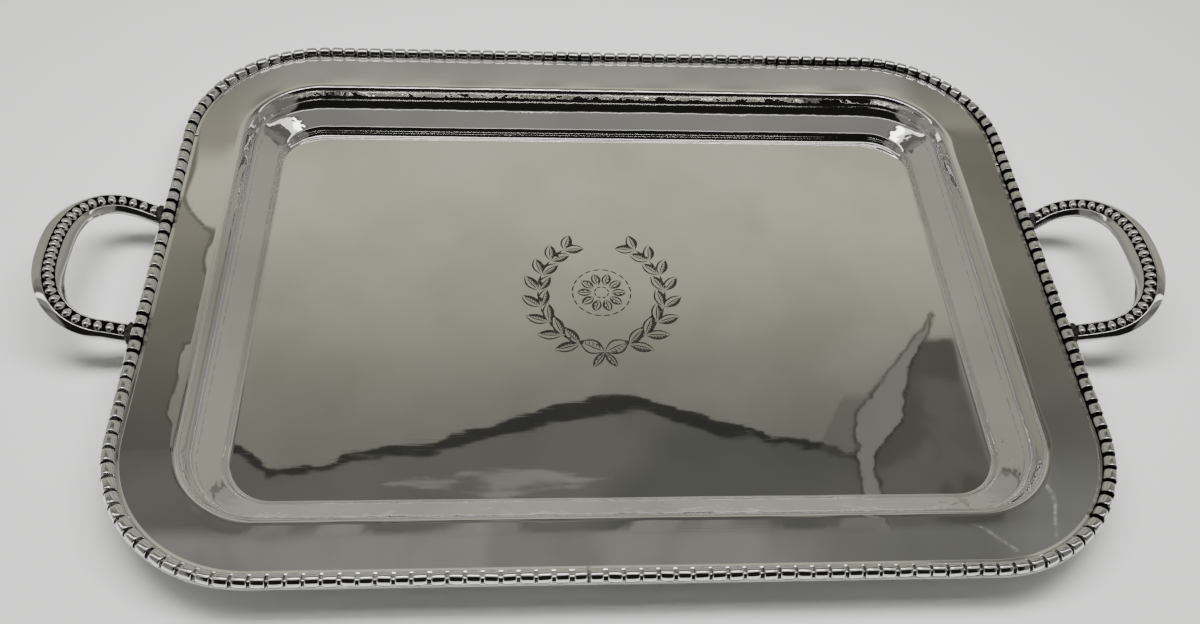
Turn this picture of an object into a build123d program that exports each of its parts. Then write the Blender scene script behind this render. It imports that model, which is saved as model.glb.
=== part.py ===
from build123d import *
import math
import os

# Two-handled silver salver: a raised sheet tray with a beaded border and beaded loop handles.
# Lengths are in millimetres. The tray stands on the underside of its floor at z = 0. X runs
# along the length, through both handles, Y runs across the tray and Z is up.

os.makedirs("parts", exist_ok=True)

# Plan of the border ridge, the line along the tops of the border beads
RIDGE_LENGTH = 450.0
RIDGE_WIDTH = 327.0
RIDGE_RADIUS = 68.0

# Raised sheet: thickness, level rim and how far the edge stands outside the ridge line
SHEET = 1.2
RIM_TOP = 22.0
EDGE_OUT = 3.2
FLOOR_TOP = SHEET

# Moulding between rim and floor: inset from the ridge line, height of the top surface
MOUTH = (26.4, RIM_TOP)
SHOULDER_MID = (28.16, 21.43)
SHOULDER_END = (29.25, 19.93)
WALL_FOOT = (30.4, 16.2)
OGEE_MID = (31.8, 12.7)
CREASE = (34.3, 10.5)
LEDGE_MID = (38.3, 8.1)
LEDGE_END = (42.9, 6.0)
ROLL_MID = (44.3, 5.0)
ROLL_END = (45.2, 2.9)
FLOOR_CURVE_MID = (45.9, 1.75)
FLOOR_EDGE = (47.3, FLOOR_TOP)
FLOOR_LAP = 50.0

# Applied bead border: thin strip with a half-round core and a row of barrel-shaped beads
STRIP_INSET = 4.7
STRIP_THICKNESS = 0.5
CORE_HALF = 2.1
CORE_TOP = 23.9
BEAD_PITCH = 7.2
BEAD_RADIUS = 3.05
BEAD_HALF = 2.7
BEAD_END_RADIUS = 2.3
BEAD_AXIS = 23.1
JOIN_GAP = 0.1

# Joins between the border lengths, as distances along the four straight sides
JOIN_RIGHT_Y = 78.0
JOIN_BACK_X = 107.0
PATCH_RIGHT_X = -4.7
PATCH_LEFT_X = -32.7
JOIN_LEFT_Y = 94.0
JOIN_FRONT_X = -18.0

# Loop handles, drawn flat and then tilted up and out from the tray edge. The two were bent
# by hand and differ a little: tilt in degrees, then length, breadth of the back half and
# breadth of the front half against the drawn loop.
RIGHT_LOOP = (22.5, 1.03, 1.05, 0.99)
LEFT_LOOP = (21.5, 0.96, 1.0, 0.965)
HANDLE_ROOT_Z = 20.5
LOOP_HALF = [(-5.0, 36.8), (0.0, 37.2), (4.3, 37.9), (11.5, 39.0), (20.0, 39.3), (28.0, 37.2),
             (35.0, 32.3), (40.4, 25.2), (43.8, 16.0), (45.0, 7.5)]
LOOP_TIP = 45.2
BREADTH_START = 11.5
ARM_OUT = 3.9
ARM_IN = 3.9
GRIP_OUT = 7.2
GRIP_IN = 7.6
HANDLE_TOP = 1.4
HANDLE_BOTTOM = -5.2
HANDLE_TOP_ROUND = 0.7
HANDLE_BOTTOM_ROUND = 1.2
CHANNEL_HALF = 2.9
CHANNEL_FLOOR = 0.0
PEARL_STRIP_TOP = 0.5
PEARL_RADIUS = 2.3
PEARL_COUNT = 30
PEARL_START = 2.9

# Solder at each end of each handle
SOLDER_REACH = 2.8
SOLDER_HALF = 5.2
SOLDER_LOW = 13.6
SOLDER_HIGH = 24.0
SOLDER_ROUND = 1.7
ARM_Y = 37.4

# Engraved wreath on the floor
WREATH_CENTRE = (-4.0, 3.0)
WREATH_RADIUS = 33.0
GROOVE_DEPTH = 0.25
GROOVE_WIDTH = 0.45

CORNER_X = RIDGE_LENGTH / 2 - RIDGE_RADIUS
CORNER_Y = RIDGE_WIDTH / 2 - RIDGE_RADIUS
ARC = RIDGE_RADIUS * math.pi / 2
CORNERS = [(CORNER_X, CORNER_Y), (-CORNER_X, CORNER_Y), (-CORNER_X, -CORNER_Y), (CORNER_X, -CORNER_Y)]
SIDES = [2 * CORNER_Y, 2 * CORNER_X, 2 * CORNER_Y, 2 * CORNER_X]
ROUND = 2 * sum(SIDES[:2]) + 4 * ARC
EDGE_X = RIDGE_LENGTH / 2 + EDGE_OUT


def section_point(inset, height):
    """A point of the wall section, as radius from a corner centre and height."""
    return (RIDGE_RADIUS - inset, height)


def body_section():
    """Closed section of the sheet from its outer edge to the floor lap."""
    with BuildLine() as top:
        Line(section_point(-EDGE_OUT, RIM_TOP), section_point(*MOUTH))
        ThreePointArc(section_point(*MOUTH), section_point(*SHOULDER_MID), section_point(*SHOULDER_END))
        Line(section_point(*SHOULDER_END), section_point(*WALL_FOOT))
        ThreePointArc(section_point(*WALL_FOOT), section_point(*OGEE_MID), section_point(*CREASE))
        ThreePointArc(section_point(*CREASE), section_point(*LEDGE_MID), section_point(*LEDGE_END))
        ThreePointArc(section_point(*LEDGE_END), section_point(*ROLL_MID), section_point(*ROLL_END))
        ThreePointArc(section_point(*ROLL_END), section_point(*FLOOR_CURVE_MID), section_point(*FLOOR_EDGE))
        Line(section_point(*FLOOR_EDGE), section_point(FLOOR_LAP, FLOOR_TOP))
    upper = top.wire()
    lower = offset(upper, amount=SHEET, side=Side.LEFT, closed=False)
    if lower.center().Y > upper.center().Y:
        lower = offset(upper, amount=SHEET, side=Side.RIGHT, closed=False)
    ends = sorted([lower @ 0, lower @ 1], key=lambda v: -v.X)
    rim_edge = Line(section_point(-EDGE_OUT, RIM_TOP), ends[0])
    floor_edge = Line(section_point(FLOOR_LAP, FLOOR_TOP), ends[1])
    loop = Wire(upper.edges() + lower.edges() + [rim_edge.edge(), floor_edge.edge()])
    return Plane.XZ * Face(loop)


def strip_section():
    """Closed section of the border strip: a flat strip with a half-round core along it."""
    top = RIM_TOP + STRIP_THICKNESS
    with BuildSketch(Plane.XZ) as sketch:
        with BuildLine():
            Polyline(
                section_point(CORE_HALF, top),
                section_point(STRIP_INSET, top),
                section_point(STRIP_INSET, RIM_TOP),
                section_point(-EDGE_OUT, RIM_TOP),
                section_point(-EDGE_OUT, top),
                section_point(-CORE_HALF, top),
            )
            ThreePointArc(
                section_point(-CORE_HALF, top), section_point(0, CORE_TOP), section_point(CORE_HALF, top)
            )
        make_face()
    return sketch.sketch.face()


def side_piece(section, side, start, length):
    """Straight run of a section along one side, from start, counter-clockwise."""
    far = SIDES[side] - start - length
    run = Pos(0, -far, 0) * extrude(section, amount=length, dir=(0, -1, 0))
    return Pos(*CORNERS[side]) * Rot(0, 0, 90 * side) * run


def corner_piece(section, corner):
    """Quarter turn of a section round one corner."""
    return Pos(*CORNERS[corner]) * Rot(0, 0, 90 * corner) * revolve(section, Axis.Z, 90)


def ring_place(distance):
    """Location on the ridge line, local X along the border and local Y inwards."""
    left = distance % ROUND
    for k in range(4):
        if left <= SIDES[k]:
            local = Pos(RIDGE_RADIUS, left - SIDES[k], 0) * Rot(0, 0, 90)
            return Pos(*CORNERS[k]) * Rot(0, 0, 90 * k) * local
        left -= SIDES[k]
        if left <= ARC:
            turn = Rot(0, 0, 90 * k + math.degrees(left / RIDGE_RADIUS))
            return Pos(*CORNERS[k]) * turn * Pos(RIDGE_RADIUS, 0, 0) * Rot(0, 0, 90)
        left -= ARC
    return ring_place(0.0)


def leaf(length, width):
    """Outline groove of one pointed leaf along +X, with its midrib."""
    tip = (length, 0)
    bulge = width / 2
    outer = make_face([
        ThreePointArc((0, 0), (length * 0.45, bulge), tip),
        ThreePointArc(tip, (length * 0.45, -bulge), (0, 0)),
    ])
    inset = bulge - GROOVE_WIDTH
    back = GROOVE_WIDTH * length / width
    inner = make_face([
        ThreePointArc((back, 0), (length * 0.45, inset), (length - back, 0)),
        ThreePointArc((length - back, 0), (length * 0.45, -inset), (back, 0)),
    ])
    rib = Pos(length * 0.48, 0) * Rectangle(length * 0.5, GROOVE_WIDTH * 0.7)
    return [outer - inner, rib]


def wreath_faces():
    """Flat outlines of the engraved wreath, on the floor plane."""
    faces = []
    for hand in (1, -1):
        for step in range(8):
            angle = -68 + step * 17.5
            for turn, reach in ((38, 0.0), (-30, 0.0)):
                at = math.radians(angle)
                foot = (hand * WREATH_RADIUS * math.cos(at), WREATH_RADIUS * 1.08 * math.sin(at))
                heading = angle + 90 - turn
                if hand < 0:
                    heading = 180 - heading
                for face in leaf(12.5 - step * 0.35, 4.6):
                    faces.append(Pos(*foot) * Rot(0, 0, heading) * face)
    for petal in range(10):
        for face in leaf(8.0, 4.0):
            faces.append(Rot(0, 0, 36 * petal) * Pos(5.0, 0) * face)
    faces.append(Circle(3.6) - Circle(3.6 - GROOVE_WIDTH))
    faces.append(Circle(15.2) - Circle(15.2 - GROOVE_WIDTH))
    for hand in (1, -1):
        bow = Rot(0, 0, 90 - hand * 62) * leaf(14.0, 8.0)[0]
        faces.append(Pos(0, -38.0) * bow)
        tail = Rot(0, 0, -90 + hand * 34) * leaf(11.0, 3.4)[0]
        faces.append(Pos(0, -38.0) * tail)
    return faces


def tray_body():
    """The raised sheet, one piece, with the wreath engraved in its floor."""
    section = body_section()
    pieces = []
    for k in range(4):
        pieces.append(side_piece(section, k, 0, SIDES[k]))
        pieces.append(corner_piece(section, k))
    plate = RectangleRounded(
        RIDGE_LENGTH - 2 * FLOOR_LAP, RIDGE_WIDTH - 2 * FLOOR_LAP, RIDGE_RADIUS - FLOOR_LAP
    )
    pieces.append(extrude(plate, amount=SHEET))
    body = pieces[0].fuse(*pieces[1:]).clean()
    place = Pos(WREATH_CENTRE[0], WREATH_CENTRE[1], FLOOR_TOP - GROOVE_DEPTH)
    grooves = [place * extrude(face, amount=2 * GROOVE_DEPTH) for face in wreath_faces()]
    return body.cut(*grooves)


def border_bead():
    """One barrel-shaped bead lying along local X, cut off inside the strip."""
    half = BEAD_HALF
    end = BEAD_END_RADIUS
    crown = BEAD_RADIUS - 0.1
    with BuildSketch(Plane.XZ) as profile:
        with BuildLine():
            Line((-half, 0), (-half, end))
            ThreePointArc((-half, end), (-half + 0.27, end + 0.47), (-half + 0.8, crown))
            ThreePointArc((-half + 0.8, crown), (0, BEAD_RADIUS), (half - 0.8, crown))
            ThreePointArc((half - 0.8, crown), (half - 0.27, end + 0.47), (half, end))
            Line((half, end), (half, 0))
            Line((half, 0), (-half, 0))
        make_face()
    barrel = revolve(profile.sketch, Axis.X, 360)
    keep = Box(10, 10, 10, align=(Align.CENTER, Align.CENTER, Align.MIN))
    keep = Pos(0, 0, RIM_TOP - BEAD_AXIS + 0.1) * keep
    return Pos(0, 0, BEAD_AXIS) * (barrel & keep)


def border_length(start, end):
    """One soldered length of the border between two joins."""
    section = strip_section()
    first = start + JOIN_GAP / 2
    last = end - JOIN_GAP / 2
    pieces = []
    base = 0.0
    for lap in range(2):
        for k in range(4):
            low = max(first, base)
            high = min(last, base + SIDES[k])
            if high > low:
                pieces.append(side_piece(section, k, low - base, high - low))
            base += SIDES[k]
            if first < base and last > base:
                pieces.append(corner_piece(section, k))
            base += ARC
    bead = border_bead()
    count = round((last - first) / BEAD_PITCH)
    pitch = (last - first) / count
    for i in range(count):
        pieces.append(ring_place(first + (i + 0.5) * pitch) * bead)
    return pieces[0].fuse(*pieces[1:]).clean()


def loop_path(stretch, breadth, far_breadth):
    """Spline from the arm on the +Y side, round the tip, to the other arm, in the loop's plane."""
    near = []
    far = []
    for x, y in LOOP_HALF:
        share = min(1.0, max(0.0, x / BREADTH_START))
        near.append((x * stretch, y * (1 + (breadth - 1) * share)))
        far.insert(0, (x * stretch, -y * (1 + (far_breadth - 1) * share)))
    return Spline(*near, (LOOP_TIP * stretch, 0), *far)


def loop_outline(path, arm, grip):
    """Points beside the loop path, further out at the grip than on the arms."""
    points = []
    steps = 48
    for i in range(steps + 1):
        s = i / steps
        blend = math.sin(math.pi * s) ** 3
        aside = arm + (grip - arm) * blend
        tangent = path % s
        centre = path @ s
        points.append((centre.X - tangent.Y * aside, centre.Y + tangent.X * aside))
    return points


def loop_band(path, arm_out, grip_out, arm_in, grip_in):
    """Flat face between two outlines of the loop."""
    outer = loop_outline(path, arm_out, grip_out)
    inner = loop_outline(path, -arm_in, -grip_in)
    return make_face([
        Spline(*outer),
        Line(outer[-1], inner[-1]),
        Spline(*inner),
        Line(inner[0], outer[0]),
    ])


def handle_parts(tilt, stretch, breadth, far_breadth):
    """The cast loop and its strip of pearls, in the right-hand handle's place."""
    path = loop_path(stretch, breadth, far_breadth)
    blank = extrude(loop_band(path, ARM_OUT, GRIP_OUT, ARM_IN, GRIP_IN), amount=HANDLE_TOP - HANDLE_BOTTOM)
    blank = Pos(0, 0, HANDLE_BOTTOM) * blank
    blank = fillet([e for e in blank.edges().group_by(Axis.Z)[-1] if e.length > 60], HANDLE_TOP_ROUND)
    blank = fillet([e for e in blank.edges().group_by(Axis.Z)[0] if e.length > 60], HANDLE_BOTTOM_ROUND)
    band = loop_band(path, CHANNEL_HALF, CHANNEL_HALF, CHANNEL_HALF, CHANNEL_HALF)
    channel = Pos(0, 0, CHANNEL_FLOOR) * extrude(band, amount=5)
    frame = blank - channel
    strip = Pos(0, 0, CHANNEL_FLOOR) * extrude(band, amount=PEARL_STRIP_TOP)
    tool = Pos(PEARL_START, 0, -20) * Box(200, 200, 40, align=(Align.MAX, Align.CENTER, Align.MIN))
    strip = strip - tool
    cap = Pos(0, 0, 0.1) * Box(6, 6, 6, align=(Align.CENTER, Align.CENTER, Align.MIN))
    pearl = (Pos(0, 0, PEARL_STRIP_TOP) * Sphere(PEARL_RADIUS)) & cap
    pearls = []
    inside = [i / 2000 for i in range(2001) if (path @ (i / 2000)).X > PEARL_START + PEARL_RADIUS + 0.1]
    for i in range(PEARL_COUNT):
        s = inside[0] + (inside[-1] - inside[0]) * i / (PEARL_COUNT - 1)
        centre = path @ s
        pearls.append(Pos(centre.X, centre.Y, 0) * pearl)
    strip = strip.fuse(*pearls).clean()
    place = Pos(EDGE_X, 0, HANDLE_ROOT_Z) * Rot(0, -tilt, 0)
    trim = Pos(EDGE_X, 0, 0) * Box(60, 200, 100, align=(Align.MAX, Align.CENTER, Align.CENTER))
    return (place * frame) - trim, place * strip


def solder_fillet(frame, strip, side):
    """Solder lump round one arm of the right-hand handle, where it meets the tray edge."""
    centre = side * ARM_Y
    height = SOLDER_HIGH - SOLDER_LOW
    lump = Box(SOLDER_REACH, 2 * SOLDER_HALF, height, align=(Align.MIN, Align.CENTER, Align.MIN))
    outer_face = lump.faces().sort_by(Axis.X)[-1]
    lump = fillet(outer_face.edges(), SOLDER_ROUND)
    lump = Pos(EDGE_X, centre, SOLDER_LOW) * lump
    return lump - frame - strip


def save(shape, name):
    """Write one node as a STEP file, always as a single solid."""
    solids = shape.solids()
    assert len(solids) == 1, (name, len(solids))
    export_step(solids[0], "parts/" + name + ".step")
    print(name, round(solids[0].volume, 1), solids[0].is_valid)


def corner_start(side):
    """Distance along the ridge line at which a side begins."""
    return sum(SIDES[:side]) + side * ARC


right_join = JOIN_RIGHT_Y + CORNER_Y
back_join = corner_start(1) + CORNER_X - JOIN_BACK_X
patch_start = corner_start(1) + CORNER_X - PATCH_RIGHT_X
patch_end = corner_start(1) + CORNER_X - PATCH_LEFT_X
left_join = corner_start(2) + CORNER_Y - JOIN_LEFT_Y
front_join = corner_start(3) + CORNER_X + JOIN_FRONT_X

save(tray_body(), "tray_body")
save(border_length(right_join, back_join), "border_right_back")
save(border_length(back_join, patch_start), "border_back")
save(border_length(patch_start, patch_end), "border_back_patch")
save(border_length(patch_end, left_join), "border_left_back")
save(border_length(left_join, front_join), "border_left_front")
save(border_length(front_join, right_join + ROUND), "border_right_front")

for hand, loop, turn in (("right", RIGHT_LOOP, 0), ("left", LEFT_LOOP, 180)):
    tilt, stretch, back, front = loop
    near, far = (front, back) if turn else (back, front)
    frame, strip = handle_parts(tilt, stretch, near, far)
    save(Rot(0, 0, turn) * frame, "handle_" + hand)
    save(Rot(0, 0, turn) * strip, "pearl_strip_" + hand)
    for side, end in ((1, "back"), (-1, "front")):
        if turn:
            side = -side
        save(Rot(0, 0, turn) * solder_fillet(frame, strip, side), "solder_" + hand + "_" + end)
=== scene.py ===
import math
import random

import bmesh
import bpy
from mathutils import Matrix, Vector, noise
from mathutils.geometry import delaunay_2d_cdt


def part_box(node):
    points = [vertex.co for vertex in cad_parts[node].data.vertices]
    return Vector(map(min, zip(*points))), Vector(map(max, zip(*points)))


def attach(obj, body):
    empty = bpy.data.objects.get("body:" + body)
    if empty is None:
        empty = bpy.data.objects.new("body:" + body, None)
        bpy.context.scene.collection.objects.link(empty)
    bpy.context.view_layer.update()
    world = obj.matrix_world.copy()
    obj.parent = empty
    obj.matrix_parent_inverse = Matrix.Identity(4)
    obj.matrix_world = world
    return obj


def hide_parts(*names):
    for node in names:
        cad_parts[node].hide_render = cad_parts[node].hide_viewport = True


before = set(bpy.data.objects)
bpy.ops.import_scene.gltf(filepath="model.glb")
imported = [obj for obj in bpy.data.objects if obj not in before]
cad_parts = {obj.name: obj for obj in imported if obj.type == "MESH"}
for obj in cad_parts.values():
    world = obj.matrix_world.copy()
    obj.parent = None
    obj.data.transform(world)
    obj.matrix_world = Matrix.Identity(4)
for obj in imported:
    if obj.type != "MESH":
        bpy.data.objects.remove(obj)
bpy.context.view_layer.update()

# Lengths are in millimetres until a mesh is made. MM turns them into the frame's metres.
MM = 0.001
body_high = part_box("tray_body")[1] / MM
EDGE_X, EDGE_Y, RIM_TOP = body_high.x, body_high.y, round(body_high.z, 2)

# Plan of the ridge line along the tops of the border beads
EDGE_OUT = 3.2
RIDGE_RADIUS = 68.0
CORNER_X = EDGE_X - EDGE_OUT - RIDGE_RADIUS
CORNER_Y = EDGE_Y - EDGE_OUT - RIDGE_RADIUS
CORNERS = [(CORNER_X, CORNER_Y), (-CORNER_X, CORNER_Y), (-CORNER_X, -CORNER_Y), (CORNER_X, -CORNER_Y)]
SIDES = [2 * CORNER_Y, 2 * CORNER_X, 2 * CORNER_Y, 2 * CORNER_X]
ARC = RIDGE_RADIUS * math.pi / 2
ROUND = sum(SIDES) + 4 * ARC

# Section of the sheet: inset from the ridge line and height of the top surface
SHEET = 1.2
FLOOR_TOP = SHEET
MOUTH = (26.4, RIM_TOP)
SHOULDER = [MOUTH, (28.16, 21.43), (29.25, 19.93)]
OGEE = [(30.4, 16.2), (31.8, 12.7), (34.3, 10.5)]
LEDGE = [(34.3, 10.5), (38.6, 8.2), (42.9, 6.0)]
ROLL = [(42.9, 6.0), (44.3, 5.0), (45.2, 2.9)]
FLOOR_CURVE = [(45.2, 2.9), (45.9, 1.75), (47.3, FLOOR_TOP)]

# Bead border, the places where its lengths join, and a bead's profile as shares of its half length
# and its radius
BEAD_PITCH = 7.2
BEAD_RADIUS = 3.05
BEAD_HALF = 3.0
BEAD_AXIS = RIM_TOP + 1.1
BEAD_SIDES = 22
BEAD_END = [(-1.0, 0.74), (-0.985, 0.84), (-0.94, 0.91), (-0.86, 0.955), (-0.7, 0.98), (-0.35, 0.995)]
BEAD_RINGS = BEAD_END + [(0.0, 1.0)] + [(-x, r) for x, r in reversed(BEAD_END)]
STRIP_STEP = 1.2
JOIN_GAP = 0.1
RIGHT_JOIN_Y = 78.0
BACK_JOIN_X = 107.0
PATCH_RIGHT_X, PATCH_LEFT_X = -4.7, -32.7
LEFT_JOIN_Y = 94.0
FRONT_JOIN_X = -18.0

# Loop handles, drawn flat and then tilted up and out from the tray edge. Each one has its side, its
# tilt in degrees, its stretch along X and the breadth of its back and front arms (the other way
# round on the left).
HANDLES = {"right": (1, 22.5, 1.03, 1.05, 0.99), "left": (-1, 21.5, 0.96, 0.965, 1.0)}
HANDLE_ROOT_Z = 20.5
LOOP_HALF = [(-5.0, 36.8), (0.0, 37.2), (4.3, 37.9), (11.5, 39.0), (20.0, 39.3), (28.0, 37.2),
             (35.0, 32.3), (40.4, 25.2), (43.8, 16.0), (45.0, 7.5)]
LOOP_TIP = (45.2, 0.0)
LOOP_START = -1.0
BREADTH_START = 11.5
ARM_OUT, GRIP_OUT = 5.4, 7.4
ARM_IN, GRIP_IN = 5.4, 7.8
ARM_DROP, GRIP_DROP = 3.1, 2.4
ARM_TUCK, GRIP_TUCK = 2.4, 0.7
ARM_BOTTOM, GRIP_BOTTOM = -5.4, -4.2
RAIL_TOP = 1.4
CREST_ROUND = 0.8
FLANK_BEND = math.radians(11)
CHANNEL_HALF = 2.9
CREST_AT = CHANNEL_HALF + 0.25
PEARL_ACROSS = 2.85
PEARL_ALONG = 2.2
PEARL_HIGH = 2.3
PEARL_LIFT = 0.5
PEARL_COUNT = 30
PEARL_START = 2.9
PEARL_RINGS, PEARL_SIDES = 10, 18
PEARL_CROWD = {"right": 0.0, "left": 0.16}

# Engraved wreath, with angles in degrees. Each rosette ring has its radius and number of strokes.
WREATH_CENTRE = (-4.0, 3.0)
WREATH_RADIUS = 33.0
WREATH_STRETCH = 1.08
STEM_START, STEM_TURN, STEM_STEPS = -68, 17.5, 8
LEAF_TURNS = (38, -30)
LEAF_LENGTH, LEAF_SHRINK, LEAF_WIDTH = 13.4, 0.35, 5.2
BOW_FOOT = (0, -38)
PETALS, PETAL_FOOT = 10, 5
ROSETTE_RINGS = [(3.6, 8), (15.2, 20)]
LIGHT_LINE, HEAVY_LINE, RIB_LINE, HATCH_LINE, STEM_LINE, RING_LINE = 0.75, 0.95, 0.5, 0.42, 0.9, 0.6
GROOVE_DEPTH = 0.22
STROKE_SHARE = 0.6

# Solder lumps
SOLDER_HALF = 2.35
SOLDER_BLOCKY = 3.4
SOLDER_RINGS, SOLDER_SIDES = 18, 28

# Camera: where it stands, its right-hand and forward directions, and its lens
CAMERA_PLACE = (-47.1, -352.9, 451.6)
CAMERA_RIGHT = (0.99730, -0.04357, 0.05919)
CAMERA_FORWARD = (0.07349, 0.60427, -0.79338)
CAMERA_LENS = 33.11
SENSOR_WIDTH = 36.0

# Metals and paint
SILVER_TONE = (0.90, 0.893, 0.87, 1)
SILVER_DARKER = 0.86
# Near-black used both for tarnish and for painted shade
TARNISH_AND_SHADE_TONE = (0.014, 0.013, 0.012, 1)
GROOVE_TONES = ((0.04, 0.038, 0.034, 1), (0.10, 0.096, 0.088, 1))
SOLDER_TONES = ((0.015, 0.014, 0.013, 1), (0.10, 0.095, 0.09, 1))
TABLE_TONES = ((0.77, 0.785, 0.773, 1), (0.81, 0.82, 0.808, 1))

# Table and lamp, in metres and watts
TABLE_HALF = 3.0
LAMP_PLACE = (0.0, 0.03, 0.68)
LAMP_LENGTH, LAMP_WIDTH, LAMP_WATTS = 0.8, 0.2, 8.6

rng = random.Random(7)


# ---------------------------------------------------------------- shapes

def arc_points(three, count):
    """Points along the circular arc through three section points."""
    (ax, ay), (bx, by), (cx, cy) = three
    d = 2 * (ax * (by - cy) + bx * (cy - ay) + cx * (ay - by))
    ux = ((ax**2 + ay**2) * (by - cy) + (bx**2 + by**2) * (cy - ay) + (cx**2 + cy**2) * (ay - by)) / d
    uy = ((ax**2 + ay**2) * (cx - bx) + (bx**2 + by**2) * (ax - cx) + (cx**2 + cy**2) * (bx - ax)) / d
    radius = math.hypot(ax - ux, ay - uy)
    first = math.atan2(ay - uy, ax - ux)
    middle = (math.atan2(by - uy, bx - ux) - first) % (2 * math.pi)
    sweep = (math.atan2(cy - uy, cx - ux) - first) % (2 * math.pi)
    if middle > sweep:
        sweep -= 2 * math.pi
    angles = [first + sweep * i / count for i in range(count + 1)]
    return [(ux + radius * math.cos(t), uy + radius * math.sin(t)) for t in angles]


def line_points(start, end, count):
    """Points along a straight stretch of section, without its first point."""
    return [
        (start[0] + (end[0] - start[0]) * i / count, start[1] + (end[1] - start[1]) * i / count)
        for i in range(1, count + 1)
    ]


def ring_frame(distance):
    """Corner-side centre and outward direction at a distance along the ridge line."""
    left = distance % ROUND
    for k in range(4):
        turn = math.pi / 2 * k
        out = (math.cos(turn), math.sin(turn))
        along = (-out[1], out[0])
        if left <= SIDES[k]:
            back = left - SIDES[k]
            return (CORNERS[k][0] + along[0] * back, CORNERS[k][1] + along[1] * back), out
        left -= SIDES[k]
        if left <= ARC:
            turn += left / RIDGE_RADIUS
            return CORNERS[k], (math.cos(turn), math.sin(turn))
        left -= ARC
    return ring_frame(0.0)


def ring_point(distance, inset, height):
    """Point at an inset from the ridge line."""
    centre, out = ring_frame(distance)
    reach = RIDGE_RADIUS - inset
    return Vector((centre[0] + out[0] * reach, centre[1] + out[1] * reach, height))


def side_start(side):
    """Distance along the ridge line at which a side begins."""
    return sum(SIDES[:side]) + side * ARC


def ring_stations(straight_step, corner_steps):
    """Distances round the whole ridge line, closer together in the corners."""
    stations = []
    for k in range(4):
        count = round(SIDES[k] / straight_step)
        stations += [side_start(k) + SIDES[k] * i / count for i in range(count)]
        stations += [side_start(k) + SIDES[k] + ARC * i / corner_steps for i in range(corner_steps)]
    return stations


def catmull(points, steps):
    """Smooth path through points, with that many steps between neighbours."""
    ends = [2 * points[0] - points[1]] + points + [2 * points[-1] - points[-2]]
    path = []
    for i in range(1, len(ends) - 2):
        a, b, c, d = ends[i - 1:i + 3]
        for j in range(steps):
            t = j / steps
            path.append(0.5 * (2 * b + (c - a) * t + (2 * a - 5 * b + 4 * c - d) * t**2
                               + (3 * b - a - 3 * c + d) * t**3))
    path.append(points[-1])
    return path


def evenly(path, count):
    """The same path cut into equal lengths."""
    lengths = [0.0]
    for a, b in zip(path, path[1:]):
        lengths.append(lengths[-1] + (b - a).length)
    result = []
    k = 0
    for i in range(count + 1):
        want = lengths[-1] * i / count
        while k < len(path) - 2 and lengths[k + 1] < want:
            k += 1
        share = (want - lengths[k]) / (lengths[k + 1] - lengths[k])
        result.append(path[k].lerp(path[k + 1], min(1.0, share)))
    return result


# ---------------------------------------------------------------- mesh helpers

class Shell:
    """Vertices and faces of one piece, with a darkening from 0 to 1 at each vertex, which is tarnish in
    some places and painted shade in others.
    """

    def __init__(self):
        self.verts = []
        self.tarnish_and_shade = []
        self.faces = []
        self.flat = set()
        self.inked = set()

    def add(self, point, tarnish_and_shade=0.0):
        self.verts.append(Vector(point))
        self.tarnish_and_shade.append(tarnish_and_shade)
        return len(self.verts) - 1

    def tube(self, rows):
        """Quads between equal rows of vertex numbers, each row closed into a ring."""
        for one, two in zip(rows, rows[1:]):
            count = len(one)
            for i in range(count):
                j = (i + 1) % count
                self.faces.append((one[i], one[j], two[j], two[i]))

    def cap_ends(self, rows):
        """One face over each end of a tube."""
        self.faces.append(list(rows[0]))
        self.faces.append(list(reversed(rows[-1])))

    def cap_point(self, row, tip):
        """Triangles from an end row of a tube to a single point."""
        count = len(row)
        for i in range(count):
            self.faces.append((row[i], row[(i + 1) % count], tip))

    def piece(self, name, materials, slot, *nodes, merge=False):
        """Make the Blender object that stands for the CAD nodes."""
        mesh = bpy.data.meshes.new(name)
        mesh.from_pydata([v * MM for v in self.verts], [], self.faces)
        layer = mesh.attributes.new("tarnish_and_shade", "FLOAT", "POINT")
        layer.data.foreach_set("value", self.tarnish_and_shade)
        for material in materials:
            mesh.materials.append(material)
        for polygon in mesh.polygons:
            polygon.use_smooth = polygon.index not in self.flat
            polygon.material_index = 1 if polygon.index in self.inked else 0
        work = bmesh.new()
        work.from_mesh(mesh)
        if merge:
            bmesh.ops.remove_doubles(work, verts=work.verts, dist=0.001 * MM)
        bmesh.ops.recalc_face_normals(work, faces=work.faces)
        work.to_mesh(mesh)
        work.free()
        obj = bpy.data.objects.new(name, mesh)
        bpy.context.collection.objects.link(obj)
        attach(obj, "root")
        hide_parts(*nodes)
        return obj


def smudge(point, scale):
    """Slow random value from 0 to 1 over the object."""
    return 0.5 + 0.5 * noise.noise(Vector(point) * scale)


# ---------------------------------------------------------------- engraving

def bowed(start, end, bulge, count=8):
    """Points along a shallow arc between two points."""
    start = Vector(start)
    end = Vector(end)
    chord = end - start
    side = Vector((-chord.y, chord.x))
    return [start + chord * (i / count) + side * bulge * math.sin(math.pi * i / count)
            for i in range(count + 1)]


def leaf_strokes(foot, heading, length, width, hatches):
    """A pointed leaf: two outlines, a midrib and short shading strokes on its lower half.

    Each stroke is its centre line and its greatest width.
    """
    turn = Matrix.Rotation(math.radians(heading), 2)
    tip = (length, 0)
    share = width / 2 / length
    strokes = [
        (bowed((0, 0), tip, share), LIGHT_LINE),
        (bowed((0, 0), tip, -share), HEAVY_LINE),
        (bowed((length * 0.08, 0), (length * 0.86, 0), 0.02, 4), RIB_LINE),
    ]
    for i in range(hatches):
        x = length * (0.2 + 0.55 * i / (hatches - 1))
        depth = -width * 0.40 * math.sin(math.pi * min(0.95, x / length + 0.12))
        strokes.append((bowed((x, -0.35), (x + 1.3, depth), 0.05, 3), HATCH_LINE))
    return [([turn @ p + Vector(foot) for p in line], wide) for line, wide in strokes]


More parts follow.
